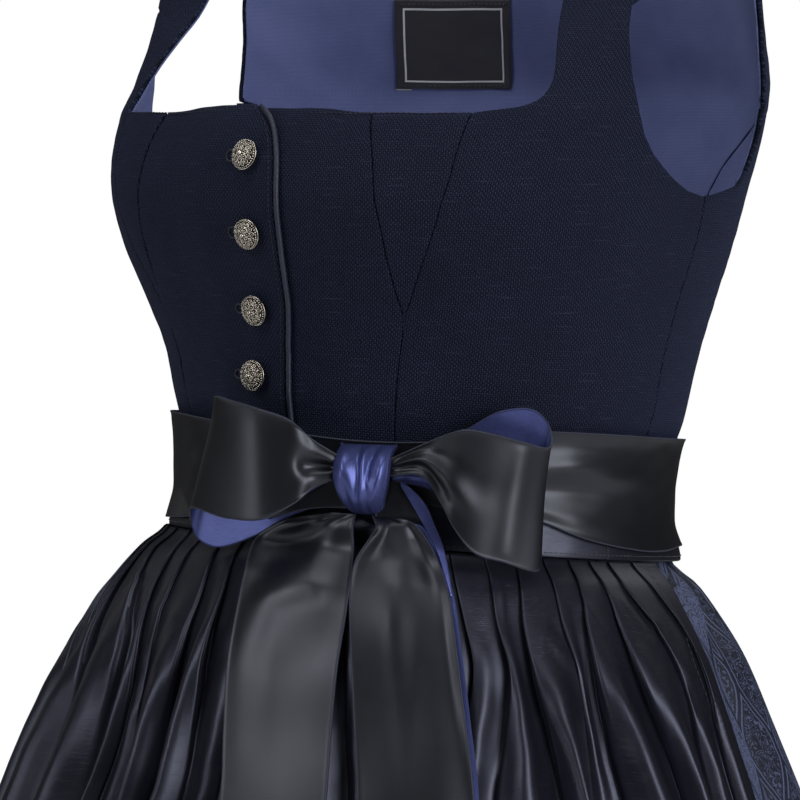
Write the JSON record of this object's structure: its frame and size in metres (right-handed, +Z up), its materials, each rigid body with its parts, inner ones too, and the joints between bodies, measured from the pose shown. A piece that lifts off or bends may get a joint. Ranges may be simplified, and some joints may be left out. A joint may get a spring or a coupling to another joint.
{
  "type": "dirndl",
  "caption": "Sleeveless dirndl as worn: buttoned linen bodice with square neckline and wide straps, gathered patterned skirt, pleated apron, satin ribbon belt tied in a bow.",
  "frame": {"origin": "midway between the two shoulder seams, where the straps hang on the wearer", "axes": "+Z up, the front of the dress faces -Y, +X is the wearer's left"},
  "size_m": [0.7687, 0.6827, 1.046],
  "materials": {
    "linen": "matte",
    "lining": "matte",
    "label": "satin",
    "navy_satin": "satin",
    "black_satin": "satin",
    "apron_cloth": "satin",
    "skirt_cloth": "matte",
    "button_metal": "antique"
  },
  "bodies": {
    "root": {"front_left_centre": "linen", "front_right_centre": "linen", "front_left_gusset": "linen", "front_right_gusset": "linen", "front_left_side": "linen", "front_right_side": "linen", "back_left_side": "linen", "back_right_side": "linen", "back_centre": "linen", "lining_front_left": "lining", "lining_front_right": "lining", "lining_back": "lining", "label": "label", "front_edge_piping": "navy_satin", "button_1": "button_metal", "button_2": "button_metal", "button_3": "button_metal", "button_4": "button_metal", "skirt_front": "skirt_cloth", "skirt_back": "skirt_cloth", "apron": "apron_cloth", "apron_waistband": "apron_cloth", "ribbon_belt": "black_satin", "bow_right_loop": "black_satin", "bow_left_loop": "black_satin", "bow_right_tail": "black_satin", "bow_left_tail": "black_satin", "bow_knot": "navy_satin"}
  },
  "joints": []
}
